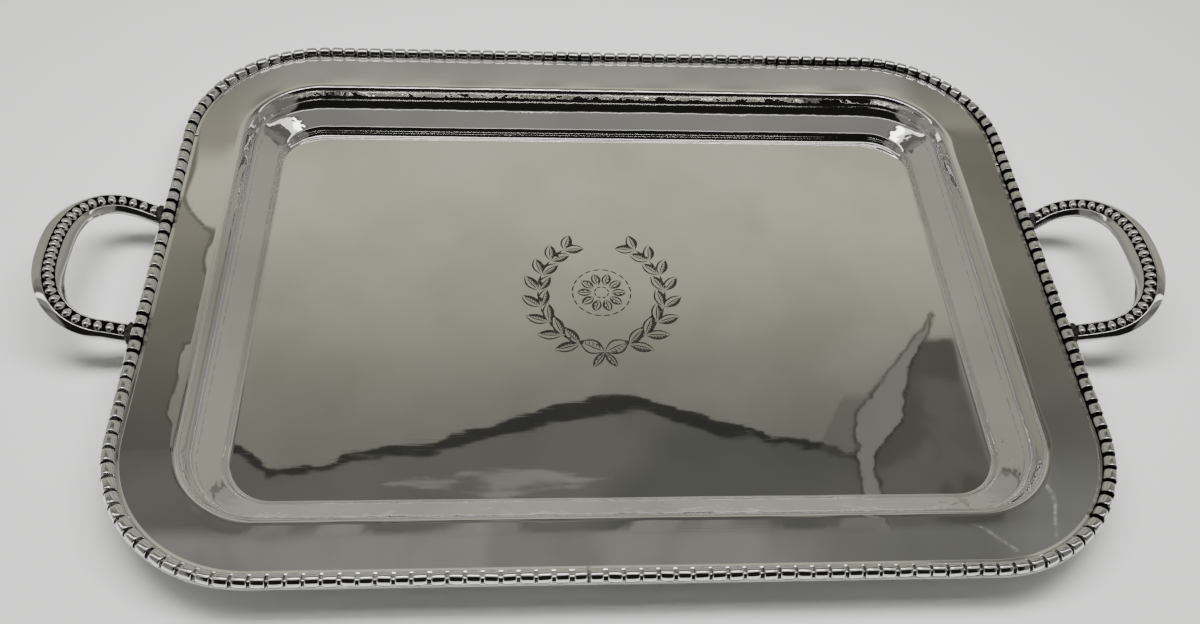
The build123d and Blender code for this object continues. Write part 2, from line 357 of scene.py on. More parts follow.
def laurel_strokes(hand):
    """One curved stem with pairs of leaves and half of the bow, to the right or left."""
    strokes = []
    stem = []
    for step in range(STEM_STEPS):
        angle = STEM_START + step * STEM_TURN
        at = math.radians(angle)
        foot = (hand * WREATH_RADIUS * math.cos(at), WREATH_RADIUS * WREATH_STRETCH * math.sin(at))
        stem.append(Vector(foot))
        for turn in LEAF_TURNS:
            heading = angle + 90 - turn
            if hand < 0:
                heading = 180 - heading
            strokes += leaf_strokes(foot, heading, LEAF_LENGTH - step * LEAF_SHRINK, LEAF_WIDTH, 6)
    for a, b in zip(stem, stem[1:]):
        strokes.append((bowed(a, b, -0.06 * hand, 6), STEM_LINE))
    strokes += leaf_strokes(BOW_FOOT, 90 - hand * 62, 14.0, 8.0, 5)
    strokes += leaf_strokes(BOW_FOOT, -90 + hand * 34, 11.0, 3.4, 3)
    return strokes


def broken_ring(radius, parts):
    """Short curved strokes in a circle, with small gaps between them."""
    strokes = []
    for i in range(parts):
        a = 2 * math.pi * i / parts
        b = 2 * math.pi * (i + 0.92) / parts
        line = [Vector((radius * math.cos(a + (b - a) * j / 6), radius * math.sin(a + (b - a) * j / 6)))
                for j in range(7)]
        strokes.append((line, RING_LINE))
    return strokes


def wreath_strokes():
    """A laurel wreath round a rosette, tied with a bow."""
    strokes = laurel_strokes(1) + laurel_strokes(-1)
    for petal in range(PETALS):
        heading = 360 // PETALS * petal
        at = math.radians(heading)
        foot = (PETAL_FOOT * math.cos(at), PETAL_FOOT * math.sin(at))
        strokes += leaf_strokes(foot, heading, 8.0, 4.0, 3)
    for radius, parts in ROSETTE_RINGS:
        strokes += broken_ring(radius, parts)
    return strokes


def groove_rails(line, width, points, depths):
    """Add one stroke's left, middle and right points, and give the three rows of their numbers."""
    last = len(line) - 1
    shift = Vector(WREATH_CENTRE)
    rails = ([], [], [])
    for i, p in enumerate(line):
        swell = 0.0 if i in (0, last) else math.sin(math.pi * i / last) ** 0.6
        ahead = line[min(last, i + 1)] - line[max(0, i - 1)]
        side = Vector((-ahead.y, ahead.x)).normalized() * width * STROKE_SHARE * swell
        if swell == 0.0:
            points.append(p + shift)
            for rail in rails:
                rail.append(len(points) - 1)
            continue
        for rail, offset in zip(rails, (side, Vector((0, 0)), -side)):
            points.append(p + shift + offset)
            rail.append(len(points) - 1)
        depths[rails[1][-1]] = GROOVE_DEPTH * swell
    return rails


def engraved_floor(shell, border):
    """Flat floor inside the border points, cut by V-shaped grooves along the strokes."""
    points = [Vector((p.x, p.y)) for p in border]
    edges = [(i, (i + 1) % len(points)) for i in range(len(points))]
    bottoms = {}
    for line, width in wreath_strokes():
        for rail in groove_rails(line, width, points, bottoms):
            edges += list(zip(rail, rail[1:]))
    verts, _, faces, origins, _, _ = delaunay_2d_cdt(points, edges, [], 0, 1e-4)
    numbers = []
    depths = []
    for vert, source in zip(verts, origins):
        depth = max([bottoms.get(i, 0.0) for i in source], default=GROOVE_DEPTH * 0.5)
        depths.append(depth)
        numbers.append(shell.add((vert.x, vert.y, FLOOR_TOP - depth)))
    for face in faces:
        if any(depths[i] > 0 for i in face):
            shell.inked.add(len(shell.faces))
        shell.flat.add(len(shell.faces))
        shell.faces.append([numbers[i] for i in face])


# ---------------------------------------------------------------- tray

def sheet_section():
    """Points of the top of the sheet from the rim's edge to the floor."""
    section = [(-EDGE_OUT, RIM_TOP)]
    section += line_points(section[-1], (MOUTH[0] - 1.5, RIM_TOP), 5)
    section += [MOUTH]
    section += arc_points(SHOULDER, 8)[1:]
    section += line_points(SHOULDER[-1], OGEE[0], 4)
    section += arc_points(OGEE, 8)[1:]
    section += arc_points(LEDGE, 8)[1:]
    section += arc_points(ROLL, 6)[1:]
    section += arc_points(FLOOR_CURVE, 8)[1:]
    return section


def sheet_underside(section):
    """The same points moved through the thickness of the sheet."""
    under = []
    last = len(section) - 1
    for i, (inset, height) in enumerate(section):
        a = section[max(0, i - 1)]
        b = section[min(last, i + 1)]
        run, drop = b[0] - a[0], b[1] - a[1]
        size = math.hypot(run, drop)
        under.append((inset + drop / size * SHEET, height - run / size * SHEET))
    under[0] = (-EDGE_OUT, RIM_TOP - SHEET)
    under[-1] = (section[-1][0], FLOOR_TOP - SHEET)
    return under


def sheet_top(shell, section, stations):
    """Rows of the top of the sheet, slightly uneven on the moulding and dull in its creases."""
    rows = []
    for inset, height in section:
        uneven = 0.0 if inset < MOUTH[0] or height <= FLOOR_TOP else 0.10
        crease = 0.35 * math.exp(-((inset - OGEE[2][0]) / 0.5) ** 2)
        dull = 0.25 * math.exp(-((inset - 5.2) / 0.9) ** 2)
        row = []
        for d in stations:
            point = ring_point(d, inset, height)
            point.z += uneven * noise.noise(Vector((point.x, point.y, height * 3)) * 0.045)
            row.append(shell.add(point, crease + dull))
        rows.append(row)
    return rows


def build_tray(silver, groove):
    """The raised sheet with the engraving in its floor."""
    shell = Shell()
    section = sheet_section()
    stations = ring_stations(6.0, 24)
    top = sheet_top(shell, section, stations)
    under = [[shell.add(ring_point(d, inset, height)) for d in stations]
             for inset, height in sheet_underside(section)]
    edge = [shell.add(ring_point(d, -EDGE_OUT, RIM_TOP - SHEET / 2)) for d in stations]
    shell.tube(top)
    shell.tube(under)
    shell.tube([top[0], edge, under[0]])
    shell.flat.add(len(shell.faces))
    shell.faces.append(list(under[-1]))
    engraved_floor(shell, [shell.verts[i] for i in top[-1]])
    shell.piece("tray_sheet", [silver, groove], "silver_sheet", "tray_body", merge=True)


# ---------------------------------------------------------------- border

# Section of the strip under the beads: inset from the ridge line and height above the rim
STRIP = [(-3.2, -0.04), (-3.2, 0.35), (-3.05, 0.5), (-2.75, 0.5), (-2.4, 0.42), (-2.1, 0.5), (-1.8, 1.0),
         (-1.3, 1.5), (-0.7, 1.8), (0.0, 1.9), (0.7, 1.8), (1.3, 1.5), (1.8, 1.0), (2.1, 0.5), (2.4, 0.4),
         (2.7, 0.38), (3.0, 0.5), (3.4, 0.5), (3.7, 0.4), (4.4, 0.35), (4.7, 0.25), (4.7, -0.04)]


def strip_grime(inset, tarnish):
    """Dirt gathers in the two grooves beside the beads and on the core between them.

    Where it is worst it covers the inner lip too.
    """
    core = 0.95 if abs(inset) < 2.1 else 0.0
    groove = 1.2 if inset > 0 else 1.0
    lip = 1.6 * max(0.0, tarnish - 0.7) if inset > 2.2 else 0.0
    return min(1.0, lip + tarnish * (core + groove * math.exp(-((abs(inset) - 2.5) / 0.6) ** 2)))


def tarnish_at(distance):
    """How dark the border's recesses are, worst by the handles, on the right and at the back right."""
    point = ring_point(distance, 0, 0)
    at_end = abs(point.x) > CORNER_X + 50
    dark = 0.35 + 0.45 * smudge(point, 0.03) * smudge(point, 0.11)
    if at_end:
        dark += 0.7 * math.exp(-((abs(point.y) - 38) / 16) ** 2)
    if at_end and point.x > 0 and point.y < 120:
        dark += 0.5
    if point.y > CORNER_Y:
        dark += 0.45 if point.x > 100 else 0.15
    if point.y < -CORNER_Y - 55:
        dark -= 0.1
    return min(1.0, dark)


def add_bead(shell, distance, stretch, dark):
    """One dented barrel-shaped bead across the ridge line, dirty low down and at its ends."""
    _, out = ring_frame(distance)
    along = Vector((-out[1], out[0], 0))
    across = Vector((out[0], out[1], 0))
    middle = ring_point(distance, rng.uniform(-0.12, 0.12), BEAD_AXIS)
    along = (along + across * rng.uniform(-0.05, 0.05)).normalized()
    half = BEAD_HALF * stretch * rng.uniform(0.95, 1.02)
    radius = BEAD_RADIUS * rng.uniform(0.97, 1.01)
    worn = max(0.0, dark - 0.5)
    clean = 0.92 - 0.5 * worn
    rows = []
    for x, r in BEAD_RINGS:
        end = max(0.0, (abs(x) - clean) / (1 - clean))
        row = []
        for i in range(BEAD_SIDES):
            turn = 2 * math.pi * i / BEAD_SIDES
            place = Vector((distance + half * x, math.cos(turn) * 2.4, math.sin(turn) * 2.4))
            reach = radius * r * (1 + 0.022 * noise.noise(place * 0.8))
            point = middle + along * half * x + across * reach * math.cos(turn)
            point.z = max(RIM_TOP + 0.1, point.z + reach * math.sin(turn))
            low = max(0.0, 1 - (point.z - RIM_TOP - 0.5) / (0.8 + 1.3 * worn))
            row.append(shell.add(point, min(1.0, (low + end) * dark)))
        rows.append(row)
    shell.tube(rows)
    shell.cap_ends(rows)


def build_border(name, start, end, least_dark, material):
    """One soldered length of bead border."""
    shell = Shell()
    first = start + JOIN_GAP / 2
    last = end - JOIN_GAP / 2
    steps = round((last - first) / STRIP_STEP)
    rows = []
    for i in range(steps + 1):
        d = first + (last - first) * i / steps
        tarnish = max(least_dark, tarnish_at(d))
        rows.append([shell.add(ring_point(d, u, RIM_TOP + h), strip_grime(u, tarnish)) for u, h in STRIP])
    shell.tube(rows)
    shell.cap_ends(rows)
    count = round((last - first) / BEAD_PITCH)
    pitch = (last - first) / count
    for i in range(count):
        at = first + (i + 0.5) * pitch + rng.uniform(-0.15, 0.15)
        stretch = 1.0 - 0.22 * max(0.0, tarnish_at(at) - 0.6)
        if i in (0, count - 1):
            stretch = 0.92
            at += (0.35 if i else -0.35) * pitch / BEAD_PITCH
        add_bead(shell, at, stretch, max(least_dark, tarnish_at(at)))
    shell.piece("look_" + name, [material], "silver_border", name)


def build_borders(material):
    """All six lengths, in order round the ridge line from the right side."""
    right = CORNER_Y + RIGHT_JOIN_Y
    back = side_start(1) + CORNER_X - BACK_JOIN_X
    patch_right = side_start(1) + CORNER_X - PATCH_RIGHT_X
    patch_left = side_start(1) + CORNER_X - PATCH_LEFT_X
    left = side_start(2) + CORNER_Y - LEFT_JOIN_Y
    front = side_start(3) + CORNER_X + FRONT_JOIN_X
    build_border("border_right_back", right, back, 0.3, material)
    build_border("border_back", back, patch_right, 0.3, material)
    build_border("border_back_patch", patch_right, patch_left, 0.9, material)
    build_border("border_left_back", patch_left, left, 0.3, material)
    build_border("border_left_front", left, front, 0.2, material)
    build_border("border_right_front", front, right + ROUND, 0.2, material)


# ---------------------------------------------------------------- handles

def handle_place(side, tilt):
    """From the handle's own plane to the row frame."""
    place = Matrix.Translation((EDGE_X, 0, HANDLE_ROOT_Z)) @ Matrix.Rotation(-math.radians(tilt), 4, "Y")
    return place if side > 0 else Matrix.Rotation(math.pi, 4, "Z") @ place


def loop_path(stretch, breadth, far_breadth):
    """Centre line of the loop from one arm round to the other."""
    near = []
    far = []
    for x, y in LOOP_HALF:
        share = min(1.0, max(0.0, x / BREADTH_START))
        near.append(Vector((x * stretch, y * (1 + (breadth - 1) * share), 0)))
        far.insert(0, Vector((x * stretch, -y * (1 + (far_breadth - 1) * share), 0)))
    tip = Vector((LOOP_TIP[0] * stretch, 0, 0))
    path = catmull(near + [tip] + far, 12)
    return [p for p in path if p.x >= LOOP_START]


def loop_tangents(path):
    """Direction of the path at each of its points."""
    last = len(path) - 1
    return [(path[min(last, i + 1)] - path[max(0, i - 1)]).normalized() for i in range(last + 1)]


def between(start, end, share):
    """Value that share of the way from start to end."""
    return start + (end - start) * share


def crest_point(turn):
    """Point of the rail's rounded crest where the surface has turned that far from level."""
    return CREST_AT + CREST_ROUND * math.sin(turn), RAIL_TOP - CREST_ROUND * (1 - math.cos(turn))


def rail(width, drop, tuck, bottom):
    """One side of the loop's section: channel wall, rounded crest, convex flank, edge and underside.

    Each point is the distance from the centre line, the height and the painted shade, which is darkest low
    in the channel and along the edge and underside.
    """
    # The channel wall beside the pearls gets painted shade, darkest at its foot; the crest and flank get
    # none.
    points = [
        (CHANNEL_HALF, 0.0, 1.0),
        (CHANNEL_HALF + 0.03, 0.8, 0.9),
        (CHANNEL_HALF + 0.08, RAIL_TOP - 0.12, 0.3),
    ]
    edge_height = RAIL_TOP - drop
    mean = math.atan2(drop, width - CREST_AT)
    start, end = mean - FLANK_BEND, mean + FLANK_BEND
    points += [(*crest_point(start * i / 4), 0.0) for i in range(4)]
    first = crest_point(start)
    for i in range(11):
        turn = start + (end - start) * i / 10
        across = (math.sin(turn) - math.sin(start)) / (math.sin(end) - math.sin(start))
        down = (math.cos(start) - math.cos(turn)) / (math.cos(start) - math.cos(end))
        points.append((between(first[0], width, across), between(first[1], edge_height, down), 0.0))
    # Painted shade along the lower edge and the underside of the rail.
    points += [
        (width - 0.08, edge_height - 0.4, 0.8),
        (width - 0.6 * tuck, (edge_height + bottom) / 2, 0.7),
        (width - tuck, bottom, 0.4),
    ]
    return points


def build_handle(hand, name, silver):
    """The loop, low and narrow along its arms and broad round the grip."""
    side, tilt, *shape = HANDLES[hand]
    shell = Shell()
    place = handle_place(side, tilt)
    path = evenly(loop_path(*shape), 150)
    rows = []
    last = len(path) - 1
    for i, (centre, tangent) in enumerate(zip(path, loop_tangents(path))):
        out = Vector((-tangent.y, tangent.x, 0))
        grip = math.sin(math.pi * i / last) ** 3
        drop = between(ARM_DROP, GRIP_DROP, grip)
        tuck = between(ARM_TUCK, GRIP_TUCK, grip)
        bottom = between(ARM_BOTTOM, GRIP_BOTTOM, grip)
        outer = rail(between(ARM_OUT, GRIP_OUT, grip), drop, tuck, bottom)
        inner = rail(between(ARM_IN, GRIP_IN, grip), drop, tuck, bottom)
        section = [(-n, t, g) for n, t, g in reversed(inner)] + outer
        rows.append([shell.add(place @ (centre + out * n + Vector((0, 0, t))), g) for n, t, g in section])
    shell.tube(rows)
    shell.cap_ends(rows)
    shell.piece("look_" + name, [silver], "silver_handle", name)


def add_pearl(shell, centre, place, along, size):
    """One oval pearl sitting across the channel, dirty low down and where it meets its neighbours."""
    across = Vector((-along.y, along.x, 0))
    rows = []
    for j in range(1, PEARL_RINGS):
        polar = math.pi * j / PEARL_RINGS
        up = math.cos(polar)
        row = []
        for i in range(PEARL_SIDES):
            turn = 2 * math.pi * i / PEARL_SIDES
            one, two = math.sin(polar) * math.cos(turn), math.sin(polar) * math.sin(turn)
            height = max(0.06, PEARL_LIFT + up * PEARL_HIGH * size)
            reach = across * one * PEARL_ACROSS * size + along * two * PEARL_ALONG * size
            low = max(0.0, min(1.0, (1.1 - height) / 0.5))
            squeeze = max(0.0, (abs(two) - 0.8) / 0.2)
            tarnish_and_shade = min(1.0, low + 0.7 * squeeze * (1.1 - up))
            row.append(shell.add(place @ (centre + reach + Vector((0, 0, height))), tarnish_and_shade))
        rows.append(row)
    shell.tube(rows)
    for row, pole in ((rows[0], 1), (rows[-1], -1)):
        height = max(0.06, PEARL_LIFT + pole * PEARL_HIGH * size)
        tip = shell.add(place @ (centre + Vector((0, 0, height))), 0.0 if pole > 0 else 1.0)
        shell.cap_point(row, tip)


def build_pearls(hand, name, silver):
    """The strip in the channel and its row of pearls."""
    side, tilt, *shape = HANDLES[hand]
    shell = Shell()
    place = handle_place(side, tilt)
    whole = loop_path(*shape)
    path = evenly([p for p in whole if p.x >= PEARL_START], 120)
    half = CHANNEL_HALF - 0.04
    profile = [(-half, 0.03), (-half, 0.4), (-1.2, 0.6), (0, 0.66), (1.2, 0.6), (half, 0.4), (half, 0.03)]
    rows = []
    for centre, tangent in zip(path, loop_tangents(path)):
        out = Vector((-tangent.y, tangent.x, 0))
        # The strip under the pearls is painted fully dark as shade.
        rows.append([shell.add(place @ (centre + out * n + Vector((0, 0, t))), 1.0) for n, t in profile])
    shell.tube(rows)
    shell.cap_ends(rows)
    fine = evenly([p for p in whole if p.x >= PEARL_START + PEARL_ALONG], 600)
    centres = []
    for i in range(PEARL_COUNT):
        share = i / (PEARL_COUNT - 1)
        share += PEARL_CROWD[hand] / (2 * math.pi) * math.sin(2 * math.pi * share)
        centres.append(fine[round(share * 600)])
    for centre, tangent in zip(centres, loop_tangents(centres)):
        add_pearl(shell, centre, place, tangent, rng.uniform(0.96, 1.0))
    shell.piece("look_" + name, [silver], "silver_handle", name)


def blocky(way):
    """Distance from the centre of a rounded block to its surface, in a direction."""
    return 1 / sum(abs(part) ** SOLDER_BLOCKY for part in way) ** (1 / SOLDER_BLOCKY)


def build_solder(name, material):
    """Uneven lump of solder round the end of a handle arm."""
    shell = Shell()
    low, high = (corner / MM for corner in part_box(name))
    centre = (low + high) / 2
    centre.x -= 0.5 if centre.x > 0 else -0.5
    size = Vector((SOLDER_HALF, (high.y - low.y) / 2 + 0.2, (high.z - low.z) / 2 + 0.15))
    rows = []
    for j in range(1, SOLDER_RINGS):
        polar = math.pi * j / SOLDER_RINGS
        row = []
        for i in range(SOLDER_SIDES):
            turn = 2 * math.pi * i / SOLDER_SIDES
            ring = math.sin(polar)
            way = Vector((ring * math.cos(turn), ring * math.sin(turn), math.cos(polar)))
            coarse = 0.10 * noise.noise(way * 2.3 + centre * 0.37)
            lump = 1 + coarse + 0.05 * noise.noise(way * 6.1 + centre)
            reach = Vector((way.x * size.x, way.y * size.y, way.z * size.z))
            point = centre + reach * blocky(way) * lump
            row.append(shell.add(point, 0.5 + 0.5 * smudge(point, 0.4)))
        rows.append(row)
    shell.tube(rows)
    for row, pole in ((rows[0], 1), (rows[-1], -1)):
        shell.cap_point(row, shell.add(centre + Vector((0, 0, pole * size.z)), 0.7))
    shell.piece("look_" + name, [material], "solder", name)


# ---------------------------------------------------------------- materials

class Nodes:
    """Adds and joins shader nodes. A value is a number or another node's output."""

    def __init__(self, tree):
        self.tree = tree
        tree.nodes.clear()

    def add(self, kind, **settings):
        node = self.tree.nodes.new(kind)
        for key, value in settings.items():
            setattr(node, key, value)
        return node

    def link(self, source, target):
        self.tree.links.new(source, target)

    def put(self, target, value):
        if isinstance(value, bpy.types.NodeSocket):
            self.link(value, target)
        else:
            target.default_value = value

    def math(self, operation, a, b=0.0, clamp=False):
        node = self.add("ShaderNodeMath", operation=operation, use_clamp=clamp)
        self.put(node.inputs[0], a)
        self.put(node.inputs[1], b)
        return node.outputs[0]

    def times(self, *values):
        product = values[0]
        for value in values[1:]:
            product = self.math("MULTIPLY", product, value)
        return product

    def span(self, value, low, high, to_low=0.0, to_high=1.0):
        """Smooth change from one value at low to another at high."""
        node = self.add("ShaderNodeMapRange", interpolation_type="SMOOTHSTEP")
        for key, item in (("Value", value), ("From Min", low), ("From Max", high),
                          ("To Min", to_low), ("To Max", to_high)):
            self.put(node.inputs[key], item)
        return node.outputs["Result"]

    def band(self, value, rise, fall):
        """1 between two soft edges. Each edge is given as where it is 0 and where it is 1."""
        return self.times(self.span(value, *rise), self.span(value, *fall))

    def noise(self, place, scale, detail=2.0, stretch=None, roughness=0.5):
        if stretch:
            mapping = self.add("ShaderNodeMapping")
            self.link(place, mapping.inputs["Vector"])
            mapping.inputs["Scale"].default_value = stretch
            place = mapping.outputs["Vector"]
        node = self.add("ShaderNodeTexNoise")
        self.link(place, node.inputs["Vector"])
        node.inputs["Scale"].default_value = scale
        node.inputs["Detail"].default_value = detail
        node.inputs["Roughness"].default_value = roughness
        return node.outputs["Fac"]

    def jitter(self, place, scale, detail, size, stretch=None):
        """Random value round zero."""
        return self.times(self.math("SUBTRACT", self.noise(place, scale, detail, stretch), 0.5), size)

    def mix(self, share, one, two):
        node = self.add("ShaderNodeMix", data_type="RGBA")
        self.put(node.inputs["Factor"], share)
        self.put(node.inputs[6], one)
        self.put(node.inputs[7], two)
        return node.outputs[2]

    def bump(self, height, distance, strength=1.0, normal=None):
        node = self.add("ShaderNodeBump")
        self.link(height, node.inputs["Height"])
        node.inputs["Distance"].default_value = distance
        node.inputs["Strength"].default_value = strength
        if normal:
            self.link(normal, node.inputs["Normal"])
        return node.outputs["Normal"]

    def surface(self, colour, rough, metallic=0.0, normal=None):
        """The shader itself, joined to the material's output."""
        shader = self.add("ShaderNodeBsdfPrincipled")
        self.put(shader.inputs["Base Color"], colour)
        self.put(shader.inputs["Roughness"], rough)
        self.put(shader.inputs["Metallic"], metallic)
        if normal:
            self.link(normal, shader.inputs["Normal"])
        output = self.add("ShaderNodeOutputMaterial")
        self.link(shader.outputs["BSDF"], output.inputs["Surface"])


def new_material(name):
    """A material, the helper for its nodes and the place on the object."""
    material = bpy.data.materials.new(name)
    material.use_nodes = True
    n = Nodes(material.node_tree)
    return material, n, n.add("ShaderNodeTexCoord").outputs["Object"]


def moulding_ripple(n, place):
    """Small hammer ripples between the floor and the rim, and none on the flat parts."""
    parts = n.add("ShaderNodeSeparateXYZ")
    n.link(place, parts.inputs["Vector"])
    floor_edge = (1.3 * MM, 2.4 * MM)
    rim_edge = ((RIM_TOP - 0.02) * MM, (RIM_TOP - 0.6) * MM)
    return n.times(n.noise(place, 110.0), n.band(parts.outputs["Z"], floor_edge, rim_edge))


def hairlines(n, place):
    """Fine scratches along and across the tray."""
    along = n.span(n.noise(place, 900.0, stretch=(0.05, 1.0, 1.0)), 0.60, 0.72)
    across = n.span(n.noise(place, 800.0, stretch=(1.0, 0.06, 1.0)), 0.63, 0.75)
    return n.math("MAXIMUM", along, across)


def make_silver(name, wave, shine, hammer=0.0):
    """Polished silver plate: slow waviness, hairline scratches, faint tarnish, and near-black recesses and
    edges from the vertex darkening, which is tarnish in some places and painted shade in others.

    The wave and the hammer ripple are heights in millimetres. Shine is the least roughness.
    """
    material, n, place = new_material(name)
    darker = tuple(part * SILVER_DARKER for part in SILVER_TONE[:3]) + (1,)
    colour = n.mix(n.span(n.noise(place, 14.0, 3.0), 0.35, 0.7), SILVER_TONE, darker)
    # Vertex darkening: tarnish on the border, pearls and solder; painted shade in the handles' channels,
    # along their edges and undersides and on the pearl strips
    tarnish_and_shade = n.add("ShaderNodeAttribute", attribute_name="tarnish_and_shade").outputs["Fac"]
    speck = n.span(n.noise(place, 420.0, 3.0), 0.2, 0.62, 0.55, 1.15)
    tarnish_and_shade_share = n.span(n.math("MULTIPLY", tarnish_and_shade, speck, clamp=True), 0.18, 0.72)
    haze = n.span(n.noise(place, 55.0, 4.0, roughness=0.6), 0.3, 0.75, shine, shine * 1.7)
    rough = n.math("ADD", haze, n.times(tarnish_and_shade_share, 0.4))
    normal = n.bump(n.noise(place, 17.0, 1.0), wave * MM)
    if hammer:
        normal = n.bump(moulding_ripple(n, place), hammer * MM, normal=normal)
    normal = n.bump(hairlines(n, place), 0.0008 * MM, 0.5, normal)
    n.surface(n.mix(tarnish_and_shade_share, colour, TARNISH_AND_SHADE_TONE), rough, 1.0, normal)
    return material


def make_dark_metal(name, tone, other, rough, grain):
    """Oxidised metal in the engraving and the solder."""
    material, n, place = new_material(name)
    patches = n.noise(place, grain, 4.0, roughness=0.65)
    colour = n.mix(n.span(patches, 0.35, 0.65), tone, other)
    dull = n.span(patches, 0.3, 0.7, rough, rough + 0.25)
    n.surface(colour, dull, 0.85, n.bump(patches, 0.05 * MM))
    return material


def make_table():
    """Plain pale table top."""
    material, n, place = new_material("table")
    n.surface(n.mix(n.noise(place, 3.0), *TABLE_TONES), 0.55)
    return material


# ---------------------------------------------------------------- surroundings

# A direction is given by its slopes a = x / z and b = y / z. The floor and the rim mirror the part
# of the room near b = 0.45 to 1.1, behind the tray, and b = 0 is straight overhead.

def add_drape(n, colour, a, b, way):
    """A pale hanging fold with a dark edge and a dark area beside it, low on the right of the room."""
    rise = n.math("MAXIMUM", n.math("SUBTRACT", b, 0.56), 0.0)
    centre = n.math("ADD", 0.364, n.times(n.math("POWER", rise, 1.25), 0.86))
    centre = n.math("ADD", centre, n.jitter(way, 11.0, 2.0, 0.02))
    frayed = n.jitter(way, 75.0, 3.0, 0.02, (0.5, 1.0, 1.0))
    aside = n.math("ADD", n.math("SUBTRACT", a, centre), frayed)
    below = n.span(n.math("ADD", b, frayed), 0.728, 0.718)
    beside = n.times(n.span(aside, 0.0, 0.002), n.span(a, 0.502, 0.494), below)
    patchy = n.span(n.noise(way, 16.0), 0.42, 0.56)
    colour = n.mix(beside, colour, n.mix(patchy, (0.088, 0.09, 0.077, 1), (0.118, 0.12, 0.104, 1)))
    veil = n.times(n.band(aside, (-0.052, -0.048), (0.0, -0.002)), n.span(b, 0.655, 0.635), 0.45)
    colour = n.mix(veil, colour, (0.105, 0.105, 0.092, 1))
    bulge = n.band(b, (0.56, 0.62), (0.70, 0.62))
    half = n.times(n.math("ADD", 0.0075, n.times(bulge, 0.014)), n.span(b, 0.765, 0.70))
    rim = n.math("SUBTRACT", n.math("ABSOLUTE", aside), half)
    top = n.span(b, 0.770, 0.762)
    colour = n.mix(n.times(n.span(rim, 0.0065, 0.001), top, 0.75), colour, (0.042, 0.042, 0.038, 1))
    return n.mix(n.times(n.span(rim, 0.001, -0.001), top), colour, (0.205, 0.205, 0.185, 1))


def add_hill(n, colour, a, b, way):
    """A dark ragged skyline across the room, and the dimmer part of the room below it."""
    off = n.math("SUBTRACT", a, 0.107)
    spread = n.times(off, off, n.span(a, 0.10, 0.115, 26.0, 40.0))
    hill = n.math("ADD", 0.54, n.math("DIVIDE", 0.107, n.math("ADD", 1.0, spread)))
    hill = n.math("ADD", hill, n.span(a, -0.25, -0.29, 0.0, 0.03))
    fine = n.jitter(way, 130.0, 3.0, 0.026, (0.16, 1.0, 1.0))
    line = n.math("ADD", n.math("ADD", fine, n.jitter(way, 14.0, 2.0, 0.014)), n.math("SUBTRACT", b, hill))
    dim = n.mix(n.span(n.noise(way, 7.0, stretch=(0.5, 1.0, 1.0)), 0.4, 0.6), (0.103, 0.105, 0.093, 1),
                (0.132, 0.133, 0.118, 1))
    aside = n.math("MAXIMUM", n.span(a, 0.48, 0.54), n.span(a, -0.44, -0.47))
    colour = n.mix(n.math("MAXIMUM", n.span(line, -0.001, 0.001), aside), dim, colour)
    depth = n.math("ADD", -0.008, n.times(n.band(a, (-0.16, 0.06), (0.25, 0.21)), -0.014))
    bottom = n.span(n.math("SUBTRACT", line, depth), -0.004, 0.002)
    ends = n.band(a, (-0.34, -0.33), (0.36, 0.35))
    band = n.times(bottom, n.span(line, 0.0015, -0.0005), ends, 0.9)
    return n.mix(band, colour, (0.03, 0.03, 0.028, 1))


def add_glint(n, colour, a, b, way):
    """A pale brushed patch low in the room."""
    across = n.math("DIVIDE", n.math("ADD", a, 0.02), 0.094)
    upward = n.math("DIVIDE", n.math("SUBTRACT", b, 0.544), 0.0145)
    reach = n.math("ADD", n.times(across, across), n.times(upward, upward))
    strokes = n.noise(way, 130.0, 3.0, (0.13, 1.0, 1.0))
    ragged = n.math("ADD", reach, n.times(n.math("SUBTRACT", strokes, 0.5), 3.2))
    tone = n.mix(n.span(strokes, 0.40, 0.62), (0.225, 0.222, 0.203, 1), (0.13, 0.13, 0.117, 1))
    return n.mix(n.span(ragged, 1.15, 0.8), colour, tone)


def add_lines(n, colour, a, b, way):
    """Two thin sparkling lines low on the right of the room."""
    sparkle = n.span(n.noise(way, 380.0), 0.42, 0.58, 0.15, 1.0)
    wander = n.jitter(way, 40.0, 2.0, 0.006)
    for start, slope, low, high in ((0.547, 0.213, 0.478, 0.565), (0.484, -1.057, 0.458, 0.496)):
        centre = n.math("ADD", n.times(n.math("SUBTRACT", b, 0.475), slope), start)
        off = n.math("ABSOLUTE", n.math("ADD", n.math("SUBTRACT", a, centre), wander))
        ends = n.band(b, (low, low + 0.004), (high, high - 0.004))
        line = n.times(n.span(off, 0.0024, 0.0008), ends, sparkle)
        colour = n.mix(line, colour, (0.45, 0.45, 0.42, 1))
    return colour


def add_side_walls(n, colour, a, b, way):
    """Dark screens at both sides of the room, with paler walls beyond them."""
    edge = n.math("ADD", n.span(b, 0.86, 0.94, -0.353, -0.40), n.times(n.noise(way, 20.0), 0.003))
    past = n.math("SUBTRACT", a, edge)
    lower = n.times(n.span(past, 0.001, -0.001), n.span(a, -0.46, -0.415))
    upper = n.times(n.span(b, 0.98, 1.04, 0.0, 0.75), n.span(a, -0.30, -0.38))
    left = n.times(n.math("MAXIMUM", lower, upper), 0.53)
    shade = n.math("SUBTRACT", n.span(b, 0.55, 1.05, 0.36, 0.70), n.span(b, 1.05, 1.09, 0.0, 0.25))
    right = n.times(n.band(a, (0.50, 0.56), (0.69, 0.63)), shade)
    colour = n.mix(n.math("ADD", left, right), colour, (0.012, 0.013, 0.012, 1))
    outline = n.times(n.span(n.math("ABSOLUTE", n.math("ADD", past, 0.004)), 0.004, 0.001), 0.45)
    colour = n.mix(outline, colour, (0.05, 0.05, 0.045, 1))
    beyond = n.math("MAXIMUM", n.span(a, -0.415, -0.47), n.span(a, 0.63, 0.70))
    return n.mix(beyond, colour, (0.36, 0.35, 0.30, 1))


